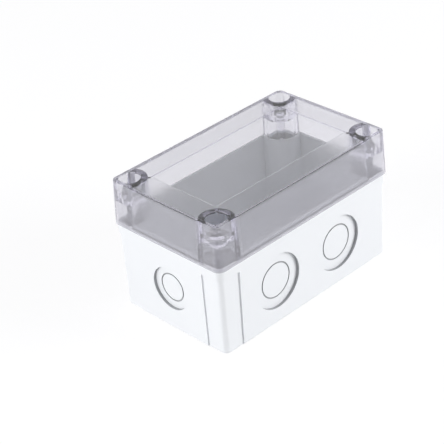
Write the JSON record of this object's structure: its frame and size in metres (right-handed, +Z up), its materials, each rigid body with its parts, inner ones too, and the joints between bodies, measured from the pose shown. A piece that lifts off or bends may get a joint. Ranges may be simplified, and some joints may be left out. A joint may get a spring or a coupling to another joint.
{
  "type": "polycarbonate enclosure",
  "caption": "Sealed wall-mount box with an opaque knock-out base, a deep clear lid and recessed captive corner screws.",
  "frame": {"origin": "middle of the base's underside", "axes": "+X along the length, +Y across the width, +Z up through the lid"},
  "size_m": [0.13, 0.08, 0.077],
  "materials": {
    "base_plastic": "fine moulded satin",
    "clear_lid": "clear polished",
    "seal_foam": "matt foamed",
    "screw_plastic": "clear polished"
  },
  "bodies": {
    "base": {"base": "base_plastic", "seal": "seal_foam"},
    "lid": {"lid": "clear_lid"},
    "screw_front_left": {"cover_screw_front_left": "screw_plastic"},
    "screw_front_right": {"cover_screw_front_right": "screw_plastic"},
    "screw_rear_left": {"cover_screw_rear_left": "screw_plastic"},
    "screw_rear_right": {"cover_screw_rear_right": "screw_plastic"}
  },
  "joints": [
    {"name": "lid_lift", "type": "slide", "parent": "base", "child": "lid", "axis": [0, 0, 1], "range_m": [0, 0.05]},
    {"name": "screw_front_left_turn", "type": "hinge", "parent": "lid", "child": "screw_front_left", "pos_m": [-0.0565, -0.032, 0.0665], "axis": [0, 0, 1], "continuous": true},
    {"name": "screw_front_right_turn", "type": "hinge", "parent": "lid", "child": "screw_front_right", "pos_m": [0.0565, -0.032, 0.0665], "axis": [0, 0, 1], "continuous": true},
    {"name": "screw_rear_left_turn", "type": "hinge", "parent": "lid", "child": "screw_rear_left", "pos_m": [-0.0565, 0.032, 0.0665], "axis": [0, 0, 1], "continuous": true},
    {"name": "screw_rear_right_turn", "type": "hinge", "parent": "lid", "child": "screw_rear_right", "pos_m": [0.0565, 0.032, 0.0665], "axis": [0, 0, 1], "continuous": true}
  ]
}
